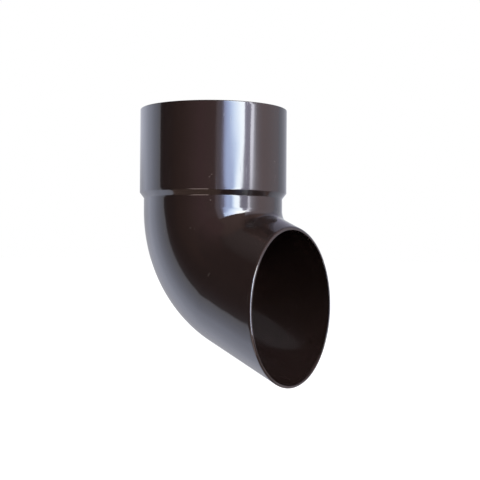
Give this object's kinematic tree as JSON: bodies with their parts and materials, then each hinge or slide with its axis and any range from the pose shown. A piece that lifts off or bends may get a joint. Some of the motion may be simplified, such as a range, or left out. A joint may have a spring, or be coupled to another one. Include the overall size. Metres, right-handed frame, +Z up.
{
  "type": "downspout elbow",
  "caption": "Round plastic downspout elbow: a push-on pipe socket on a sloping shoulder, a tight bend and a spout cut off upright, to throw rainwater clear of a wall.",
  "frame": {"origin": "centre of the flat pipe stop at the bottom of the socket, on the socket's axis", "axes": "+Z up the socket, the way the downpipe leaves; +X the way the spout points; the XZ plane is the mirror plane"},
  "size_m": [0.1104, 0.0954, 0.1755],
  "materials": {
    "brown_pvc": "glossy moulded rigid PVC, dark chocolate brown all through"
  },
  "bodies": {
    "root": {"outlet_elbow": "brown_pvc"}
  },
  "joints": []
}
